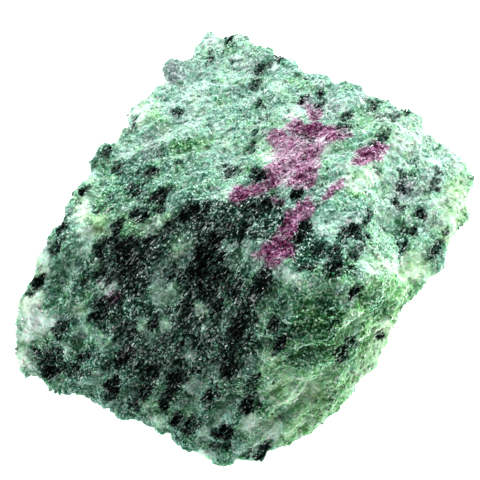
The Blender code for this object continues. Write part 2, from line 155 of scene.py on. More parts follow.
# Zoisite, as (x, y, half length, half width, turn, tone, warmth): a tone from deep
# green at 0 to white at 1, and a colour from blue-green at 0 to yellow-green at 1.
# A patch lies over those before it.  The tones are partly the rock's own colour and
# partly painted light and shade: paler on the lit upper faces, darker on the shaded
# front faces, and paler and yellower as a painted glow along the thin rims.
ZOISITE_AND_PAINTED_LIGHT = [
    # broad areas
    (190, 110, 60, 60, 0, 0.62, 0.10), (300, 110, 60, 50, 0, 0.57, 0.15),
    (420, 170, 60, 70, 0, 0.64, 0.30), (345, 240, 50, 30, 0, 0.52, 0.10),
    (150, 185, 60, 22, 10, 0.42, 0.20), (230, 222, 56, 28, 10, 0.09, 0.05),
    (290, 202, 14, 10, 40, 0.48, 0.10), (130, 260, 60, 28, 20, 0.15, 0.05),
    (80, 330, 60, 50, 0, 0.38, 0.20), (170, 330, 60, 60, 0, 0.18, 0.08),
    (200, 410, 60, 50, 0, 0.38, 0.20), (250, 320, 30, 60, 0, 0.32, 0.40),
    (320, 330, 50, 50, 0, 0.36, 0.60), (300, 410, 50, 40, 0, 0.62, 0.80),
    (370, 320, 40, 50, 0, 0.55, 0.90),
    # the upper left face
    (152, 112, 10, 14, 0, 0.62, 0.70), (138, 115, 9, 8, 40, 0.82, 0.40),
    (150, 103, 6, 5, 0, 0.70, 0.30), (200, 110, 12, 10, 40, 0.66, 0.10),
    (223, 85, 10, 8, 40, 0.66, 0.10), (236, 120, 12, 10, 50, 0.50, 0.10),
    (186, 145, 15, 7, 10, 0.32, 0.60), (167, 129, 10, 6, 20, 0.64, 0.30),
    (205, 142, 8, 6, 30, 0.44, 0.80), (219, 101, 7, 7, 0, 0.44, 0.50),
    (133, 169, 14, 10, 30, 0.34, 0.00), (168, 172, 12, 6, 20, 0.50, 0.10),
    (150, 205, 12, 6, 30, 0.25, 0.30), (226, 193, 20, 8, 10, 0.60, 0.10),
    (318, 131, 24, 7, 175, 0.40, 0.10), (312, 135, 10, 5, 20, 0.14, 0.10),
    (294, 116, 9, 6, 0, 0.74, 0.10), (268, 156, 12, 6, 170, 0.76, 0.40),
    (276, 66, 5, 5, 0, 0.86, 0.00), (280, 86, 10, 6, 10, 0.66, 0.20),
    (195, 55, 12, 12, 0, 0.60, 0.10), (212, 43, 9, 6, 0, 0.80, 0.10),
    (245, 45, 12, 8, 160, 0.62, 0.20), (236, 60, 10, 8, 0, 0.74, 0.10),
    (271, 75, 9, 5, 20, 0.46, 0.10), (182, 59, 7, 5, 0, 0.42, 0.10),
    (300, 82, 16, 6, 160, 0.56, 0.50), (325, 87, 9, 5, 160, 0.68, 0.20),
    (170, 82, 8, 6, 0, 0.66, 0.10), (125, 156, 10, 8, 40, 0.64, 0.05),
    (110, 178, 10, 8, 40, 0.46, 0.20), (93, 182, 6, 12, 0, 0.66, 0.20),
    # the upper right face
    (324, 145, 9, 8, 10, 0.96, 0.15), (284, 144, 12, 7, 20, 0.76, 0.00),
    (288, 168, 18, 6, 45, 0.84, 0.00), (352, 184, 14, 8, 150, 0.82, 0.50),
    (367, 175, 15, 9, 10, 0.76, 0.50), (351, 168, 12, 8, 20, 0.74, 0.20),
    (352, 192, 12, 3, 155, 0.44, 0.70), (358, 205, 8, 6, 0, 0.48, 0.20),
    (330, 187, 10, 6, 20, 0.78, 0.10), (322, 188, 8, 6, 50, 0.56, 0.10),
    (303, 216, 10, 8, 50, 0.86, 0.10), (355, 222, 9, 4, 160, 0.74, 0.20),
    (285, 178, 14, 7, 60, 0.70, 0.00), (412, 134, 18, 12, 150, 0.68, 0.30),
    (403, 144, 7, 7, 0, 0.82, 0.20), (343, 105, 6, 7, 0, 0.66, 0.10),
    (374, 150, 14, 6, 10, 0.36, 0.10), (453, 160, 16, 14, 120, 0.70, 0.15),
    (447, 177, 7, 10, 0, 0.56, 0.30), (431, 165, 15, 3, 95, 0.82, 0.00),
    (460, 205, 12, 30, 0, 0.72, 0.70), (448, 230, 12, 12, 0, 0.76, 0.90),
    (383, 211, 12, 8, 150, 0.68, 0.20), (396, 221, 13, 5, 150, 0.74, 0.20),
    (378, 239, 16, 14, 0, 0.54, 0.30), (329, 228, 15, 14, 60, 0.64, 0.20),
    (364, 121, 12, 12, 0, 0.56, 0.30), (402, 228, 7, 9, 0, 0.30, 0.30),
    (430, 224, 10, 7, 0, 0.64, 0.40), (443, 204, 6, 6, 0, 0.80, 0.40),
    (426, 209, 9, 8, 0, 0.72, 0.10), (436, 176, 6, 14, 0, 0.76, 0.10),
    (414, 176, 10, 6, 30, 0.36, 0.40), (405, 192, 6, 5, 0, 0.60, 0.10),
    (388, 163, 8, 6, 0, 0.58, 0.10), (340, 92, 14, 6, 160, 0.58, 0.10),
    (352, 140, 8, 10, 0, 0.45, 0.10), (262, 140, 8, 10, 0, 0.58, 0.10),
    (230, 147, 7, 8, 0, 0.66, 0.20), (243, 134, 5, 5, 0, 0.40, 0.20),
    # the ridge and below it
    (388, 268, 34, 11, 170, 0.70, 0.40), (410, 277, 10, 7, 130, 0.84, 0.60),
    (418, 266, 16, 11, 150, 0.82, 0.70), (362, 268, 8, 8, 0, 0.54, 0.10),
    (290, 277, 17, 7, 160, 0.74, 0.30), (275, 252, 18, 11, 30, 0.32, 0.10),
    (306, 250, 17, 15, 0, 0.06, 0.10), (348, 268, 10, 8, 0, 0.20, 0.40),
    (324, 293, 20, 9, 170, 0.58, 0.60), (125, 305, 26, 12, 20, 0.12, 0.10),
    (258, 215, 18, 16, 40, 0.10, 0.10), (280, 325, 12, 22, 0, 0.18, 0.40),
    (105, 205, 12, 7, 40, 0.26, 0.40), (318, 318, 24, 22, 0, 0.15, 0.60),
    (327, 334, 10, 8, 0, 0.18, 0.60), (308, 352, 24, 16, 0, 0.42, 0.50),
    (345, 302, 10, 8, 40, 0.54, 0.30), (352, 324, 10, 16, 0, 0.64, 0.50),
    (342, 288, 7, 6, 0, 0.58, 0.40), (312, 311, 9, 6, 20, 0.50, 0.80),
    # the next rows, down the lower right rim, are paler and yellower as a painted glow of
    # light through the thin edge
    (397, 288, 14, 9, 120, 0.52, 0.95), (378, 306, 20, 10, 150, 0.38, 0.70),
    (404, 302, 16, 8, 58, 0.66, 0.90), (384, 332, 16, 8, 58, 0.86, 1.00),
    (371, 358, 20, 9, 58, 0.70, 1.00), (355, 382, 20, 10, 55, 0.68, 1.00),
    (336, 410, 16, 9, 55, 0.56, 1.00), (325, 384, 22, 13, 30, 0.60, 0.90),
    (308, 404, 20, 14, 0, 0.60, 0.90), (306, 393, 16, 8, 20, 0.78, 0.80),
    (260, 410, 8, 10, 0, 0.34, 0.50), (285, 382, 16, 12, 0, 0.64, 0.70),
    (271, 362, 10, 16, 20, 0.60, 0.60), (246, 368, 8, 9, 0, 0.48, 0.20),
    (266, 322, 8, 16, 0, 0.52, 0.50), (285, 317, 9, 9, 0, 0.42, 0.40),
    (249, 424, 9, 13, 0, 0.84, 0.40), (272, 431, 10, 11, 0, 0.76, 0.40),
    (246, 450, 7, 6, 0, 0.55, 0.30), (256, 450, 9, 6, 0, 0.66, 0.30),
    (300, 428, 20, 9, 30, 0.62, 0.80),
    # the front left face
    (82, 210, 8, 14, 0, 0.84, 0.50), (100, 224, 13, 8, 60, 0.66, 0.90),
    (87, 232, 8, 7, 0, 0.86, 0.40), (86, 246, 9, 10, 0, 0.60, 0.20),
    (97, 268, 9, 6, 20, 0.54, 0.20), (65, 268, 14, 12, 0, 0.48, 0.30),
    (42, 262, 8, 14, 0, 0.80, 0.20), (70, 268, 4, 4, 0, 0.66, 0.10),
    # the next rows, on the lower left rim, are pale partly in their own colour and partly as a
    # painted glow of light through the thin edge
    (70, 286, 4, 4, 0, 0.66, 0.30), (30, 302, 14, 9, 50, 0.92, 0.40),
    (38, 322, 20, 13, 0, 0.90, 0.10), (24, 338, 8, 8, 0, 1.00, 0.00),
    (22, 361, 12, 10, 150, 0.95, 0.30), (82, 311, 8, 8, 0, 0.66, 0.40),
    (66, 348, 8, 4, 130, 0.66, 0.30), (103, 345, 9, 9, 60, 0.56, 0.30),
    (100, 333, 3, 3, 0, 0.72, 0.70), (109, 283, 9, 9, 0, 0.90, 0.10),
    (178, 247, 21, 14, 50, 0.42, 0.50), (184, 251, 11, 7, 50, 0.55, 0.50),
    (160, 267, 9, 8, 40, 0.52, 0.20), (163, 292, 16, 16, 60, 0.58, 0.45),
    (152, 226, 20, 9, 30, 0.58, 0.60), (130, 227, 9, 8, 40, 0.34, 0.50),
    (142, 325, 8, 9, 0, 0.56, 0.40), (166, 325, 6, 10, 0, 0.58, 0.30),
    (201, 308, 6, 7, 0, 0.68, 0.40), (205, 328, 6, 3, 65, 0.76, 0.00),
    (190, 352, 7, 7, 0, 0.54, 0.20), (222, 295, 5, 4, 0, 0.56, 0.10),
    (226, 328, 6, 7, 0, 0.48, 0.20), (192, 388, 7, 9, 60, 0.62, 0.00),
    (95, 378, 10, 14, 60, 0.54, 0.30), (72, 390, 14, 6, 150, 0.40, 0.20),
    (119, 351, 9, 11, 0, 0.46, 0.20), (155, 336, 11, 9, 0, 0.46, 0.20),
    (84, 332, 11, 9, 0, 0.58, 0.30), (152, 407, 14, 10, 20, 0.54, 0.40),
    (184, 414, 8, 9, 0, 0.54, 0.20), (158, 421, 11, 5, 155, 0.66, 0.30),
    (195, 406, 8, 8, 0, 0.50, 0.20), (228, 406, 11, 10, 0, 0.50, 0.20),
    (222, 420, 10, 6, 20, 0.58, 0.10), (206, 433, 7, 8, 0, 0.70, 0.20),
    (207, 455, 9, 6, 150, 0.74, 0.30), (252, 250, 12, 14, 60, 0.48, 0.10),
    (230, 247, 7, 6, 40, 0.50, 0.20), (245, 272, 8, 8, 0, 0.36, 0.10),
]
TONE_BASE, WARM_BASE = 0.50, 0.25

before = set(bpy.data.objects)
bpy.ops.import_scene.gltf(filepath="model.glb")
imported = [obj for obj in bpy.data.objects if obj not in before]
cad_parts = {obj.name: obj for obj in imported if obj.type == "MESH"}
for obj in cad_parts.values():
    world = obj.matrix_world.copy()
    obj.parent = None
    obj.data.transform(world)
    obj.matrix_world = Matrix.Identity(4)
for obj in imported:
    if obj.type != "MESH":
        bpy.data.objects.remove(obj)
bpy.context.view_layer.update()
rng = np.random.default_rng(7)


# ---------------------------------------------------------------- markings

# Smooth noise in the rock, as (width, shift).  These run along the foliation.
LONG_FORMS = {
    "fibres": (0.55 * MM, 11.0), "threads": (1.0 * MM, 7.0),
    "streaks": (2.4 * MM, 1.0), "bands": (7.0 * MM, 2.0),
}
# These are as long as they are wide.
ROUND_FORMS = {
    "wobble x": (1.6 * MM, 3.0), "wobble y": (1.6 * MM, 8.0),
    "jitter x": (0.6 * MM, 5.0), "jitter y": (0.6 * MM, 6.0),
    "lumps": (1.1 * MM, 12.0), "clouds": (9.0 * MM, 4.0), "tones": (3.5 * MM, 15.0),
    "fine hues": (0.5 * MM, 13.0), "broad hues": (1.4 * MM, 14.0),
}
WOBBLE_PIXELS, JITTER_PIXELS = 5.0, 3.0

# How much of each noise goes into a marking.
MOTTLE = {"fibres": 0.26, "threads": 0.24, "streaks": 0.10}
UNEVENNESS = {
    "clouds": 0.06, "streaks": 0.10, "wobble x": 0.06, "lumps": 0.14, "threads": 0.08,
}
RUBY_RAGS = {"threads": 0.3, "lumps": 0.2}
FAR_HORNBLENDE = {"streaks": 1.0, "bands": 0.9}
FAR_RUBY = {"bands": 1.0, "streaks": 0.5}
FAR_TONE, FAR_TONES = 0.35, {"bands": -0.40, "streaks": -0.25, "tones": 0.34}
FAR_WARMTH, FAR_WARMTHS = 0.35, {"clouds": 0.6}

# How soft a patch's edge is, as a share of its reach.
PATCH_EDGE = 0.6
# Each pair is where something starts and where it is whole.
SEEN, AWAY = (-0.20, 0.05), (0.15, 0.50)
FAR_HORNBLENDE_EDGE, FAR_RUBY_EDGE = (-0.02, 0.42), (-0.1, 0.3)
NEEDLE_DARKNESS = (-0.55, -0.30)
SOFT_START = (0.0, 0.4)
# On the far side the ruby is a wavy sheet: millimetres across the foliation.
VEIN_PLACE, VEIN_WANDER, VEIN_EDGE = 1.0, 6.0, (-2.6, -0.6)
# The left corner is narrow, so the far side's black and ruby fade out before it.
LEFT_CORNER = np.array((-28.0, -15.6, 4.8)) * MM
LEFT_CORNER_FADE = (1.5 * MM, 3.5 * MM)
# The unevenness pulls the tone towards this.
PALEST = 1.10
# The zoisite is darker next to hornblende, and its hue is uneven.
MOTTLE_IN_SHADE, HORNBLENDE_SHADE, HORNBLENDE_SHADE_EDGE = 0.5, 0.20, (0.1, 0.6)
CLOUD_HUES, GRAIN_HUES = 0.2, 0.4
HAZE_RAGS = 0.3


def ramp(value, low, high):
    share = np.clip((value - low) / (high - low), 0.0, 1.0)
    return share * share * (3.0 - 2.0 * share)


def to_picture(places):
    """The pixel where each place shows."""
    ray = places - VIEW_EYE
    depth = ray @ VIEW_FORWARD
    middle = PICTURE / 2
    x = middle + PIXELS_PER_TANGENT * (ray @ VIEW_RIGHT) / depth
    y = middle - PIXELS_PER_TANGENT * (ray @ VIEW_UP) / depth
    return np.stack([x, y], 1)


def noise_at(places, width, shift):
    """Smooth noise from about -1 to 1 at places in metres, with forms of this width."""
    offset = Vector((shift, shift * 0.7, -shift * 1.3))
    scale = 1.0 / width
    return np.array([noise.noise(Vector(p) * scale + offset) for p in places])


def in_grain_space(places):
    return np.stack([
        places @ GRAIN / GRAIN_STRETCH, places @ ACROSS / ACROSS_SQUEEZE, places @ THIRD,
    ], 1)


def rock_forms(places):
    """Every noise of the rock at each place."""
    spots = in_grain_space(places)
    forms = {name: noise_at(spots, *form) for name, form in LONG_FORMS.items()}
    forms.update({name: noise_at(places, *form) for name, form in ROUND_FORMS.items()})
    return forms


def blend(forms, weights, base=0.0):
    return sum((weight * forms[name] for name, weight in weights.items()), base)


def patch_share(pixels, x, y, long, wide, turn):
    """1 inside the patch, 0 outside it, and a soft edge between."""
    c, s = math.cos(math.radians(turn)), math.sin(math.radians(turn))
    dx, dy = pixels[:, 0] - x, y - pixels[:, 1]
    reach = np.hypot((dx * c + dy * s) / long, (dy * c - dx * s) / wide)
    return ramp(-reach, -1.0 - PATCH_EDGE, -1.0 + PATCH_EDGE)


def patches(pixels, table):
    """The strongest patch at each pixel."""
    best = np.zeros(len(pixels))
    for *patch, strength in table:
        best = np.maximum(best, strength * patch_share(pixels, *patch))
    return best


def zoisite_looks(pixels):
    """The tone and warmth at each pixel, with their painted light and shade, each patch laid
    over those before it.
    """
    tone, warm = np.full(len(pixels), TONE_BASE), np.full(len(pixels), WARM_BASE)
    for *patch, patch_tone, patch_warm in ZOISITE_AND_PAINTED_LIGHT:
        share = patch_share(pixels, *patch)
        tone += share * (patch_tone - tone)
        warm += share * (patch_warm - warm)
    return tone, warm


def seen_minerals(pixels, tone):
    """The hornblende, ruby and haze that the picture shows at each pixel."""
    needles = patches(pixels, SCATTER) * ramp(-tone, *NEEDLE_DARKNESS)
    horn = np.maximum(patches(pixels, HORNBLENDE), needles)
    return horn, patches(pixels, RUBY), patches(pixels, HAZE)


def far_minerals(places, forms):
    """The hornblende and ruby of the sides that the picture doesn't show."""
    horn = ramp(blend(forms, FAR_HORNBLENDE), *FAR_HORNBLENDE_EDGE)
    across = (places - VIEW_TARGET) @ ACROSS / MM
    vein = np.abs(across - VEIN_PLACE + VEIN_WANDER * forms["clouds"])
    ruby = ramp(-vein, *VEIN_EDGE) * ramp(blend(forms, FAR_RUBY), *FAR_RUBY_EDGE)
    return horn, ruby


def markings(places, normals):
    """How much hornblende and ruby there is at each place, how pale and how warm it is."""
    forms = rock_forms(places)
    wobble = np.stack([forms["wobble x"], forms["wobble y"]], 1)
    jitter = np.stack([forms["jitter x"], forms["jitter y"]], 1)
    pixels = to_picture(places) + WOBBLE_PIXELS * wobble + JITTER_PIXELS * jitter
    seen = ramp(-(normals @ VIEW_FORWARD), *SEEN)
    away = ramp(normals @ VIEW_FORWARD, *AWAY)
    away *= ramp(np.linalg.norm(places - LEFT_CORNER, axis=1), *LEFT_CORNER_FADE)

    tone, warm = zoisite_looks(pixels)
    seen_horn, seen_ruby, seen_haze = seen_minerals(pixels, tone)
    far_horn, far_ruby = far_minerals(places, forms)
    horn = seen * seen_horn + away * far_horn
    ruby = seen * seen_ruby + away * far_ruby
    haze = seen * seen_haze
    tone = seen * tone + (1.0 - seen) * blend(forms, FAR_TONES, FAR_TONE)
    warm = seen * warm + (1.0 - seen) * blend(forms, FAR_WARMTHS, FAR_WARMTH)

    mottle = blend(forms, MOTTLE)
    shade = HORNBLENDE_SHADE * ramp(horn + MOTTLE_IN_SHADE * mottle, *HORNBLENDE_SHADE_EDGE)
    tone += (PALEST - tone) * blend(forms, UNEVENNESS) - shade
    warm = warm + CLOUD_HUES * forms["clouds"]
    warm = warm + GRAIN_HUES * (forms["fine hues"] + forms["broad hues"])
    ruby += ramp(ruby, *SOFT_START) * blend(forms, RUBY_RAGS)
    haze += ramp(haze, *SOFT_START) * HAZE_RAGS * forms["threads"]
    return {
        "hornblende": horn + mottle, "ruby": ruby, "haze": np.clip(haze, 0.0, 1.0),
        "tone": np.clip(tone, 0.0, 1.0), "warm": np.clip(warm, 0.0, 1.0),
    }


def store(mesh, name, values):
    layer = mesh.attributes.new(name, "FLOAT", "POINT")
    layer.data.foreach_set("value", np.ascontiguousarray(values, np.float32))


# ---------------------------------------------------------------- the skin

SKIN_GRID = 0.312 * MM
SKIN_WELD = 0.001 * MM
SOFTENING_ROUNDS, SOFTENING = 3, 0.5
FACET_SPACING, FACET_CROWDING = 1.0 * MM, 1.2
FACET_TILT, FACET_STEP = 0.20, 0.05 * MM
FACET_MOST = 0.25 * MM
FACET_SLOPE = 0.45
SUGAR = 0.022 * MM
LUMP_HEIGHT, LUMP_FORM = 0.10 * MM, (1.2 * MM, 9.0)
KNOB_HEIGHT, KNOB_FORM = 0.26 * MM, (2.6 * MM, 10.0)
HORNBLENDE_SINK, HORNBLENDE_SINK_EDGE = 0.18 * MM, (0.3, 0.7)


def positions(mesh):
    places = np.empty(len(mesh.vertices) * 3, np.float32)
    mesh.vertices.foreach_get("co", places)
    return places.reshape(-1, 3).astype(float)


def vertex_normals(mesh):
    normals = np.empty(len(mesh.vertices) * 3, np.float32)
    mesh.vertices.foreach_get("normal", normals)
    return normals.reshape(-1, 3).astype(float)


def applied(piece):
    """Apply the piece's modifiers to its mesh."""
    depsgraph = bpy.context.evaluated_depsgraph_get()
    mesh = bpy.data.meshes.new_from_object(piece.evaluated_get(depsgraph))
    piece.modifiers.clear()
    piece.data = mesh


def new_piece(name, mesh):
    piece = bpy.data.objects.new(name, mesh)
    bpy.context.scene.collection.objects.link(piece)
    return piece


def fine_skin():
    """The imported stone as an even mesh, fine enough for its grains."""
    bm = bmesh.new()
    bm.from_mesh(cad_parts["stone"].data)
    bmesh.ops.remove_doubles(bm, verts=bm.verts, dist=SKIN_WELD)
    mesh = bpy.data.meshes.new("stone_skin")
    bm.to_mesh(mesh)
    bm.free()
    skin = new_piece("stone_skin", mesh)
    even = skin.modifiers.new("even", "REMESH")
    even.mode = "VOXEL"
    even.voxel_size = SKIN_GRID
    soft = skin.modifiers.new("soft", "SMOOTH")
    soft.iterations = SOFTENING_ROUNDS
    soft.factor = SOFTENING
    cut = skin.modifiers.new("cut", "TRIANGULATE")
    cut.quad_method = "SHORTEST_DIAGONAL"
    applied(skin)
    return skin


def facet_moves(places, normals):
    """How far each corner moves to lie on the flat broken face of its grain."""
    count = int(len(places) * (SKIN_GRID / FACET_SPACING) ** 2 * FACET_CROWDING)
    seeds = rng.choice(len(places), count, replace=False)
    spots = in_grain_space(places)
    tree = kdtree.KDTree(count)
    for i, seed in enumerate(seeds):
        tree.insert(spots[seed], i)
    tree.balance()
    own = np.array([tree.find(spot)[1] for spot in spots])
    tilts = rng.normal(0.0, FACET_TILT, (count, 3))
    steps = rng.uniform(-FACET_STEP, FACET_STEP, count)
    centre = places[seeds] + steps[:, None] * normals[seeds]
    facing = normals[seeds] + tilts
    facing /= np.linalg.norm(facing, axis=1)[:, None]
    gap = ((centre[own] - places) * facing[own]).sum(1)
    slope = np.maximum((normals * facing[own]).sum(1), FACET_SLOPE)
    return np.clip(gap / slope, -FACET_MOST, FACET_MOST)


def roughen(skin):
    """Give the skin its markings, its broken grains, its sugar, its lumps and its map."""
    mesh = skin.data
    places, normals = positions(mesh), vertex_normals(mesh)
    marks = markings(places, normals)
    move = facet_moves(places, normals)
    move += rng.normal(0.0, SUGAR, len(places))
    move += LUMP_HEIGHT * noise_at(places, *LUMP_FORM)
    move += KNOB_HEIGHT * noise_at(in_grain_space(places), *KNOB_FORM)
    move -= HORNBLENDE_SINK * ramp(marks["hornblende"], *HORNBLENDE_SINK_EDGE)
    moved = places + normals * move[:, None]
    moved[:, 2] = np.maximum(moved[:, 2], 0.0)
    mesh.vertices.foreach_set("co", moved.astype(np.float32).ravel())
    for name, values in marks.items():
        store(mesh, name, values)
    mesh.shade_flat()
    mesh.update()
    map_skin(mesh, places, normals)


# ---------------------------------------------------------------- the maps

# Every piece brings the map that its colours are baked on.
MAP = "OFBake"
MAP_GAP = 0.004
REGION = 3.0 * MM
CHART_ROUNDS = 8
TURN_STEP = 5
SHRINK_STEP = 0.99


def unit(vectors):
    return vectors / np.linalg.norm(vectors, axis=1)[:, None]


def add_map(mesh, spots):
    layer = mesh.uv_layers.new(name=MAP)
    layer.uv.foreach_set("vector", spots.astype(np.float32).ravel())


def broad_facings(places, normals):
    """Each place's facing, averaged over the region round it."""
    cell = np.floor(places / REGION).astype(int)
    cell -= cell.min(0) - 2
    spots = tuple(cell.T)
    grid = np.zeros(tuple(cell.max(0) + 3) + (3,))
    np.add.at(grid, spots, normals)
    for axis in range(3):
        grid = grid + np.roll(grid, 1, axis) + np.roll(grid, -1, axis)
    return unit(grid[spots] + 1e-9)


def laid_flat(places, axis):
    """The places seen along the axis, turned to the smallest box, with its long side level."""
    across = np.cross(axis, np.eye(3)[np.abs(axis).argmin()])
    across /= np.linalg.norm(across)
    flat = np.stack([places @ across, places @ np.cross(axis, across)], 1)
    best = flat
    for turn in np.radians(np.arange(0, 180, TURN_STEP)):
        c, s = math.cos(turn), math.sin(turn)
        turned = flat @ np.array(((c, -s), (s, c)))
        size, least = np.ptp(turned, axis=0), np.ptp(best, axis=0)
        if size[0] >= size[1] and (size.prod() < least.prod() or best is flat):
            best = turned
    return best - best.min(0)


def shelves(sizes, scale):
    """Corners for boxes of these sizes laid in rows, tallest first, and the height used."""
    corners = np.zeros((len(sizes), 2))
    x = y = row = MAP_GAP
    for i in np.argsort(-sizes[:, 1]):
        wide, high = sizes[i] * scale + MAP_GAP
        if x + wide > 1.0 and x > MAP_GAP:
            x, y, row = MAP_GAP, y + row, 0.0
        corners[i] = x, y
        x += wide
        row = max(row, high)
    return corners, y + row


def map_skin(mesh, places, normals):
    """A flat chart for each of six broad sides, so that the map has few seams."""
    facings = broad_facings(places, normals)
    axes = np.vstack([np.eye(3), -np.eye(3)])
    for _ in range(CHART_ROUNDS):
        chart = (facings @ axes.T).argmax(1)
        axes = unit(np.array([facings[chart == i].sum(0) for i in range(len(axes))]))
    corners = np.empty(len(mesh.loops), np.int32)
    mesh.loops.foreach_get("vertex_index", corners)
    faces = corners.reshape(-1, 3)
    chart = np.repeat((facings[faces].sum(1) @ axes.T).argmax(1), 3)
    flats = [laid_flat(places[corners[chart == i]], axis) for i, axis in enumerate(axes)]
    sizes = np.array([flat.max(0) for flat in flats])
    scale = (1.0 - 2.0 * MAP_GAP) / sizes.max()
    while shelves(sizes, scale)[1] > 1.0:
        scale *= SHRINK_STEP
    spots = np.empty((len(corners), 2))
    for i, corner in enumerate(shelves(sizes, scale)[0]):
        spots[chart == i] = corner + flats[i] * scale
    add_map(mesh, spots)


# The two triangles of a grain's side, in a square, drawn in from its edges.
SIDE_INSET = 0.08
TWO_HALVES = np.array([[(0, 0), (1, 0), (1, 1)], [(0, 0), (1, 1), (0, 1)]])
HALVES = SIDE_INSET + (1.0 - 2.0 * SIDE_INSET) * TWO_HALVES


def map_grains(mesh, count):
    """A square for each grain, with a sixth of it for each of its sides."""
    row = math.ceil(math.sqrt(count))
    squares = np.stack([np.arange(count) % row, np.arange(count) // row], 1)
    sixths = np.stack([np.arange(6) % 3, np.arange(6) // 3], 1)
    sides = (HALVES[None] + sixths[:, None, None]) / np.array((3.0, 2.0))
    add_map(mesh, (squares[:, None, None, None] + sides[None]) / row)


# ---------------------------------------------------------------- the grains

# Each mineral's grains: how many, length and width in millimetres, how far the long
# axis strays from the foliation, and how deep they sit as a share of their thickness.
GRAINS = {
    "zoisite": (15000, (0.30, 0.62), (0.18, 0.36), 0.6, 0.50),
    "hornblende": (12000, (0.35, 1.00), (0.16, 0.30), 0.35, 0.38),
    "ruby": (3000, (0.28, 0.55), (0.20, 0.36), 0.6, 0.40),
}
GRAIN_THICKNESS = (0.6, 1.0)
GRAIN_BEND = 0.16
GRAIN_TONE_SHIFT = 0.10
HORNBLENDE_FROM, RUBY_FROM = 0.5, 0.35
GRAINS_ABOVE = 1.0 * MM
CORNERS = np.array([(x, y, z) for x in (-0.5, 0.5) for y in (-0.5, 0.5) for z in (-0.5, 0.5)])
SIDES = np.array([
    (0, 1, 3), (0, 3, 2), (4, 6, 7), (4, 7, 5), (0, 4, 5), (0, 5, 1),
    (2, 3, 7), (2, 7, 6), (0, 2, 6), (0, 6, 4), (1, 5, 7), (1, 7, 3),
])


def triangle_mesh(name, points, triangles):
    mesh = bpy.data.meshes.new(name)
    mesh.vertices.add(len(points))
    mesh.vertices.foreach_set("co", points.astype(np.float32).ravel())
    mesh.loops.add(len(triangles) * 3)
    mesh.loops.foreach_set("vertex_index", triangles.astype(np.int32).ravel())
    mesh.polygons.add(len(triangles))
    starts = np.arange(0, len(triangles) * 3, 3, dtype=np.int32)
    mesh.polygons.foreach_set("loop_start", starts)
    mesh.update(calc_edges=True)
    mesh.shade_flat()
    return mesh


def skin_sites(skin):
    """The middle, facing, area and markings of each triangle of the skin."""
    mesh = skin.data
    corners = np.empty(len(mesh.polygons) * 3, np.int32)
    mesh.polygons.foreach_get("vertices", corners)
    corners = corners.reshape(-1, 3)
    places = positions(mesh)[corners]
    cross = np.cross(places[:, 1] - places[:, 0], places[:, 2] - places[:, 0])
    area = np.linalg.norm(cross, axis=1)
    marks = {}
    for name in ("hornblende", "ruby", "tone", "warm", "haze"):
        values = np.empty(len(mesh.vertices), np.float32)
        mesh.attributes[name].data.foreach_get("value", values)
        marks[name] = values[corners].mean(1)
    return places.mean(1), cross / np.maximum(area, 1e-18)[:, None], area, marks


def mineral_here(mineral, marks):
    """Whether each triangle of the skin carries the mineral."""
    is_horn = marks["hornblende"] > HORNBLENDE_FROM
    is_ruby = ~is_horn & (marks["ruby"] > RUBY_FROM)
    return {"hornblende": is_horn, "ruby": is_ruby, "zoisite": ~is_horn & ~is_ruby}[mineral]


def grain_piece(mineral, sites):
    """The mineral's grains as one mesh of bent blocks, half sunk in the skin."""
    count, lengths, widths, stray, sink = GRAINS[mineral]
    middles, facings, areas, marks = sites
    chance = areas * mineral_here(mineral, marks) * (middles[:, 2] > GRAINS_ABOVE)
    picked = rng.choice(len(chance), count, replace=False, p=chance / chance.sum())
    long = rng.uniform(*lengths, count) * MM
    wide = rng.uniform(*widths, count) * MM
    thick = wide * rng.uniform(*GRAIN_THICKNESS, count)
    u = unit(GRAIN + rng.normal(0.0, stray, (count, 3)))
    v = unit(np.cross(u, rng.normal(0.0, 1.0, (count, 3))))
    w = np.cross(u, v)
    blocks = CORNERS + rng.uniform(-GRAIN_BEND, GRAIN_BEND, (count, 8, 3))
    blocks = blocks * np.stack([long, wide, thick], 1)[:, None, :]
    axes = np.stack([u, v, w], 1)
    centre = middles[picked] - facings[picked] * (sink * thick)[:, None]
    points = np.einsum("nij,njk->nik", blocks, axes) + centre[:, None, :]
    points[:, :, 2] = np.maximum(points[:, :, 2], 0.0)
    triangles = SIDES + 8 * np.arange(count)[:, None, None]
    mesh = triangle_mesh(mineral + "_grains", points.reshape(-1, 3), triangles.reshape(-1, 3))
    map_grains(mesh, count)
    shift = rng.normal(0.0, GRAIN_TONE_SHIFT, count)
    store(mesh, "tone", np.repeat(np.clip(marks["tone"][picked] + shift, 0.0, 1.0), 8))
    for name in ("hornblende", "ruby", "warm", "haze"):
        store(mesh, name, np.repeat(marks[name][picked], 8))
    return new_piece(mineral + "_grains", mesh)


# ---------------------------------------------------------------- the material

# Each mineral's colours, from its darkest grains to its palest.
COOL_GREEN = [
    (0.0, (0.0014, 0.011, 0.0075)), (0.3, (0.026, 0.099, 0.064)),
    (0.55, (0.152, 0.314, 0.250)), (0.8, (0.475, 0.680, 0.590)), (1.0, (0.74, 0.925, 0.83)),
]
WARM_GREEN = [
    (0.0, (0.003, 0.016, 0.003)), (0.3, (0.018, 0.107, 0.020)),
    (0.55, (0.125, 0.342, 0.115)), (0.8, (0.46, 0.700, 0.42)), (1.0, (0.80, 0.93, 0.70)),
]
LILAC = [
    (0.0, (0.012, 0.008, 0.012)), (0.5, (0.22, 0.15, 0.21)), (1.0, (0.86, 0.74, 0.84)),
]
GREY = [
    (0.0, (0.003, 0.005, 0.006)), (0.3, (0.035, 0.055, 0.058)),
    (0.55, (0.215, 0.25, 0.265)), (1.0, (0.79, 0.81, 0.84)),
]
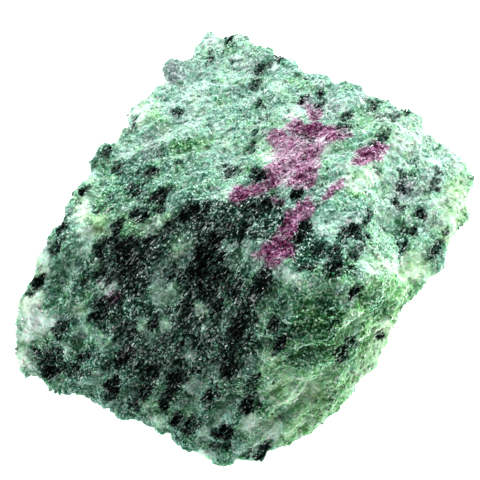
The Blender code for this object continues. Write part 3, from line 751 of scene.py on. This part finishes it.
# The hornblende is black, and the pale stops at the top of its colours are painted glints.
BLACK_AND_PAINTED_GLINTS = [
    (0.0, (0.0002, 0.0004, 0.0004)), (0.62, (0.0010, 0.0022, 0.0022)),
    (0.78, (0.009, 0.021, 0.018)), (0.90, (0.09, 0.165, 0.130)), (1.0, (0.64, 0.86, 0.74)),
]
MAGENTA = [
    (0.0, (0.012, 0.002, 0.006)), (0.35, (0.120, 0.018, 0.064)),
    (0.65, (0.37, 0.145, 0.300)), (1.0, (0.92, 0.70, 0.88)),
]

# The cells that grains are cut from, as (size, length, width and thickness).
STREAKY = (1.6, 0.85, 1.0)
GRAIN_CELLS = (0.36 * MM, STREAKY)
FACET_CELLS = (0.30 * MM, STREAKY)
GLINT_CELLS = (0.15 * MM, (2.8, 0.85, 0.9))
SUGAR_CELLS = (0.19 * MM, (1.35, 0.95, 1.0))
FACET_LEAN, GLINT_LEAN = 0.25, 1.8

# The sugary zoisite: its pale specks, partly pale grains and partly painted glints, its facets
# and its patches, as (size, amount).
SPECK_SHARPNESS, SPECK_LIFT, SPECK_MIDDLE = 2.2, 0.95, 0.29
ZOISITE_FACETS, ZOISITE_PATCHES = 0.16, (0.6 * MM, 0.6)
# Pale rock has less contrast between its grains than dark rock has.
CONTRAST_FALL, CONTRAST_MOST, CONTRAST_LEAST = 1.8, 1.25, 0.08
# Where lilac starts, where it is whole and how much of it there is then.
LILAC_EDGE = (0.03, 0.40, 0.9)
HAZE_MOST = 0.75
# Glints painted into the hornblende's colour lie in clusters, and are fewer where the
# hornblende is solid.
PAINTED_GLINT_CLUSTERS, PAINTED_GLINTS_IN_SOLID = (0.8 * MM, 0.7), -0.24
RUBY_PALENESS = 0.42
RUBY_FACETS, RUBY_SUGAR, RUBY_TONE, RUBY_PATCHES = 0.2, 0.5, 1.0, (0.7 * MM, 0.9)
ROUGHNESS_SPREAD, ROUGHNESS_LEAST = 0.3, 0.4
# How ragged a mineral's edge is, and where it rises from nothing to whole.
RUBY_SPREAD, HORNBLENDE_SPREAD = 0.50, 0.40
MINERAL_EDGE = (0.16, 0.74)


class RockNodes:
    """The nodes of the rock, in its own space and along its grain."""

    def __init__(self, tree):
        self.nodes, self.links = tree.nodes, tree.links
        self.place = self.node("ShaderNodeTexCoord").outputs["Object"]
        along = self.node("ShaderNodeMapping", vector_type="POINT")
        along.inputs["Rotation"].default_value = Matrix((GRAIN, ACROSS, THIRD)).to_euler()
        self.links.new(self.place, along.inputs["Vector"])
        self.along = along.outputs[0]
        _, self.grain = self.cells(*GRAIN_CELLS)
        self.facet_colour, self.facet = self.cells(*FACET_CELLS)
        self.glint_colour, self.glint = self.cells(*GLINT_CELLS)
        _, self.sugar = self.cells(*SUGAR_CELLS)

    def node(self, kind, **values):
        made = self.nodes.new(kind)
        for key, value in values.items():
            setattr(made, key, value)
        return made

    def maths(self, operation, *values):
        """A Math node with numbers or links on its inputs."""
        made = self.node("ShaderNodeMath", operation=operation)
        for socket, value in zip(made.inputs, values):
            if isinstance(value, (int, float)):
                socket.default_value = value
            else:
                self.links.new(value, socket)
        return made.outputs[0]

    def total(self, first, *others):
        for other in others:
            first = self.maths("ADD", first, other)
        return first

    def centred(self, value, amount):
        """A value from 0 to 1 turned to one round 0, this far from end to end."""
        return self.maths("MULTIPLY", self.maths("SUBTRACT", value, 0.5), amount)

    def mix(self, factor, a, b):
        made = self.node("ShaderNodeMix", data_type="RGBA")
        for name, value in (("Factor", factor), ("A", a), ("B", b)):
            self.links.new(value, made.inputs[name])
        return made.outputs["Result"]

    def attribute(self, name):
        return self.node("ShaderNodeAttribute", attribute_name=name).outputs["Fac"]

    def colours(self, factor, stops):
        made = self.node("ShaderNodeValToRGB")
        elements = made.color_ramp.elements
        while len(elements) < len(stops):
            elements.new(0.5)
        for element, (place, colour) in zip(elements, stops):
            element.position = place
            element.color = colour + (1.0,)
        self.links.new(factor, made.inputs["Fac"])
        return made.outputs["Color"]

    def softened(self, value, low, high, most):
        made = self.node("ShaderNodeMapRange", interpolation_type="SMOOTHSTEP")
        self.links.new(value, made.inputs["Value"])
        made.inputs["From Min"].default_value = low
        made.inputs["From Max"].default_value = high
        made.inputs["To Max"].default_value = most
        return made.outputs["Result"]

    def stretched(self, shape):
        """The grain's own space, where a grain of this shape is a unit cube."""
        made = self.node("ShaderNodeVectorMath", operation="MULTIPLY")
        self.links.new(self.along, made.inputs[0])
        made.inputs[1].default_value = tuple(1.0 / side for side in shape)
        return made.outputs[0]

    def cells(self, size, shape):
        """A random colour for each cell, and the three random values in it."""
        made = self.node("ShaderNodeTexVoronoi", feature="F1")
        made.inputs["Scale"].default_value = 1.0 / size
        self.links.new(self.stretched(shape), made.inputs["Vector"])
        parts = self.node("ShaderNodeSeparateColor")
        self.links.new(made.outputs["Color"], parts.inputs[0])
        return made.outputs["Color"], parts.outputs

    def patchy(self, space, size, amount):
        """Soft noise round 0."""
        made = self.node("ShaderNodeTexNoise")
        made.inputs["Scale"].default_value = 1.0 / size
        made.inputs["Detail"].default_value = 2.0
        made.inputs["Roughness"].default_value = 0.65
        self.links.new(space, made.inputs["Vector"])
        return self.centred(made.outputs["Fac"], amount)

    def leaning(self, colour, amount):
        """The surface's facing, leant at random by each cell's colour."""
        tilt = self.node("ShaderNodeVectorMath", operation="SUBTRACT")
        self.links.new(colour, tilt.inputs[0])
        tilt.inputs[1].default_value = (0.5, 0.5, 0.5)
        lean = self.node("ShaderNodeVectorMath", operation="MULTIPLY_ADD")
        self.links.new(tilt.outputs[0], lean.inputs[0])
        lean.inputs[1].default_value = (amount, amount, amount)
        normal = self.node("ShaderNodeNewGeometry").outputs["Normal"]
        self.links.new(normal, lean.inputs[2])
        leant = self.node("ShaderNodeVectorMath", operation="NORMALIZE")
        self.links.new(lean.outputs[0], leant.inputs[0])
        return leant.outputs[0]

    def grainy_tone(self):
        """The tone of the zoisite, with a pale speck in some of its sugary grains, partly the
        grain's own colour and partly a painted glint.
        """
        specks = self.maths("POWER", self.sugar["Green"], SPECK_SHARPNESS)
        specks = self.maths("MULTIPLY", specks, SPECK_LIFT)
        grit = self.total(
            self.centred(self.facet["Red"], ZOISITE_FACETS),
            self.maths("SUBTRACT", specks, SPECK_MIDDLE),
            self.patchy(self.place, *ZOISITE_PATCHES),
        )
        darkness = self.maths("SUBTRACT", 1.0, self.attribute("tone"))
        contrast = self.maths("POWER", darkness, CONTRAST_FALL)
        contrast = self.maths("MULTIPLY", contrast, CONTRAST_MOST)
        contrast = self.maths("MAXIMUM", contrast, CONTRAST_LEAST)
        return self.total(self.attribute("tone"), self.maths("MULTIPLY", grit, contrast))

    def zoisite(self):
        """Green from cool to warm, lilac next to the ruby, and grey in the haze."""
        tone = self.grainy_tone()
        cool, warm = self.colours(tone, COOL_GREEN), self.colours(tone, WARM_GREEN)
        colour = self.mix(self.attribute("warm"), cool, warm)
        near_ruby = self.softened(self.attribute("ruby"), *LILAC_EDGE)
        colour = self.mix(near_ruby, colour, self.colours(tone, LILAC))
        haze = self.maths("MULTIPLY", self.attribute("haze"), HAZE_MOST)
        return self.mix(haze, colour, self.colours(tone, GREY))

    def hornblende(self):
        """Black, with glints painted into its colour."""
        clusters = self.patchy(self.stretched(STREAKY), *PAINTED_GLINT_CLUSTERS)
        solid = self.centred(self.attribute("hornblende"), PAINTED_GLINTS_IN_SOLID)
        return self.colours(self.total(self.glint["Red"], clusters, solid), BLACK_AND_PAINTED_GLINTS)

    def ruby(self):
        """Deep magenta where it is dark, and lilac where it is pale."""
        paleness = self.total(
            RUBY_PALENESS, self.centred(self.facet["Blue"], RUBY_FACETS),
            self.centred(self.sugar["Green"], RUBY_SUGAR),
            self.centred(self.attribute("tone"), RUBY_TONE),
            self.patchy(self.stretched(STREAKY), *RUBY_PATCHES),
        )
        return self.colours(paleness, MAGENTA)

    def share(self, name, random, spread):
        """How much of a mineral shows, softly, because the green lets it shine through."""
        ragged = self.total(self.attribute(name), self.centred(random, spread))
        return self.softened(ragged, *MINERAL_EDGE, 1.0)


def rock_material():
    """The three minerals, laid out by the markings on the skin and on each grain."""
    material = bpy.data.materials.new("zoisite_rock")
    material.use_nodes = True
    rock = RockNodes(material.node_tree)
    shader = rock.nodes["Principled BSDF"]
    ruby_share = rock.share("ruby", rock.grain["Green"], RUBY_SPREAD)
    horn_share = rock.share("hornblende", rock.grain["Red"], HORNBLENDE_SPREAD)
    colour = rock.mix(ruby_share, rock.zoisite(), rock.ruby())
    colour = rock.mix(horn_share, colour, rock.hornblende())
    rock.links.new(colour, shader.inputs["Base Color"])
    rough = rock.maths("MULTIPLY_ADD", rock.facet["Blue"], ROUGHNESS_SPREAD, ROUGHNESS_LEAST)
    rock.links.new(rough, shader.inputs["Roughness"])
    shader.inputs["Specular IOR Level"].default_value = 0.0
    shader.inputs["Subsurface Weight"].default_value = 0.8
    shader.inputs["Subsurface Radius"].default_value = (0.6, 1.0, 0.75)
    shader.inputs["Subsurface Scale"].default_value = 1.5 * MM
    rock.links.new(rock.leaning(rock.facet_colour, FACET_LEAN), shader.inputs["Normal"])
    shader.inputs["Coat Weight"].default_value = 0.09
    shader.inputs["Coat Roughness"].default_value = 0.08
    rock.links.new(rock.leaning(rock.glint_colour, GLINT_LEAN), shader.inputs["Coat Normal"])
    return material


# ---------------------------------------------------------------- the studio

FLOOR_HALF = 3.0
FLOOR_GLOW = 0.9
# Soft lights, as (name, place, size, power).
LIGHTS = [
    ("key", (0.15, 0.19, 0.30), 0.30, 2.9), ("sparkle", (-0.04, 0.06, 0.45), 0.05, 0.8),
    ("left", (-0.32, 0.02, 0.14), 0.12, 0.7), ("right", (0.34, -0.04, 0.10), 0.12, 0.7),
]
SKY_STRENGTH = 0.20


def make_floor():
    mesh = bpy.data.meshes.new("floor")
    half = FLOOR_HALF
    corners = [(-half, -half, 0), (half, -half, 0), (half, half, 0), (-half, half, 0)]
    mesh.from_pydata(corners, [], [(0, 1, 2, 3)])
    floor = new_piece("floor", mesh)
    material = bpy.data.materials.new("floor")
    material.use_nodes = True
    shader = material.node_tree.nodes["Principled BSDF"]
    shader.inputs["Base Color"].default_value = (0.9, 0.9, 0.9, 1.0)
    shader.inputs["Roughness"].default_value = 0.9
    shader.inputs["Emission Color"].default_value = (1.0, 1.0, 1.0, 1.0)
    shader.inputs["Emission Strength"].default_value = FLOOR_GLOW
    mesh.materials.append(material)


def make_light(name, place, size, power):
    data = bpy.data.lights.new(name, "AREA")
    data.shape = "DISK"
    data.size = size
    data.energy = power
    light = new_piece(name, data)
    light.location = place
    aim = Vector(VIEW_TARGET) - Vector(place)
    light.rotation_euler = aim.to_track_quat("-Z", "Y").to_euler()


def make_camera():
    data = bpy.data.cameras.new("camera")
    data.lens = LENS_MM
    data.sensor_width = SENSOR_MM
    data.clip_start = 0.01
    camera = new_piece("camera", data)
    camera.location = VIEW_EYE
    camera.rotation_euler = (math.pi / 2 - VIEW_ELEVATION, 0.0, 0.0)
    bpy.context.scene.camera = camera


def make_studio():
    make_floor()
    for light in LIGHTS:
        make_light(*light)
    world = bpy.data.worlds.new("studio")
    world.use_nodes = True
    background = world.node_tree.nodes["Background"]
    background.inputs["Color"].default_value = (1.0, 1.0, 1.0, 1.0)
    background.inputs["Strength"].default_value = SKY_STRENGTH
    bpy.context.scene.world = world
    bpy.context.scene.view_settings.view_transform = "Standard"


make_camera()
stone_skin = fine_skin()
roughen(stone_skin)
stone_skin.data.materials.clear()
rock = rock_material()
stone_skin.data.materials.append(rock)
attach(stone_skin, "root")
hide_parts("stone")
skin_places = skin_sites(stone_skin)
for mineral in GRAINS:
    grains = grain_piece(mineral, skin_places)
    grains.data.materials.append(rock)
    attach(grains, "root")
make_studio()
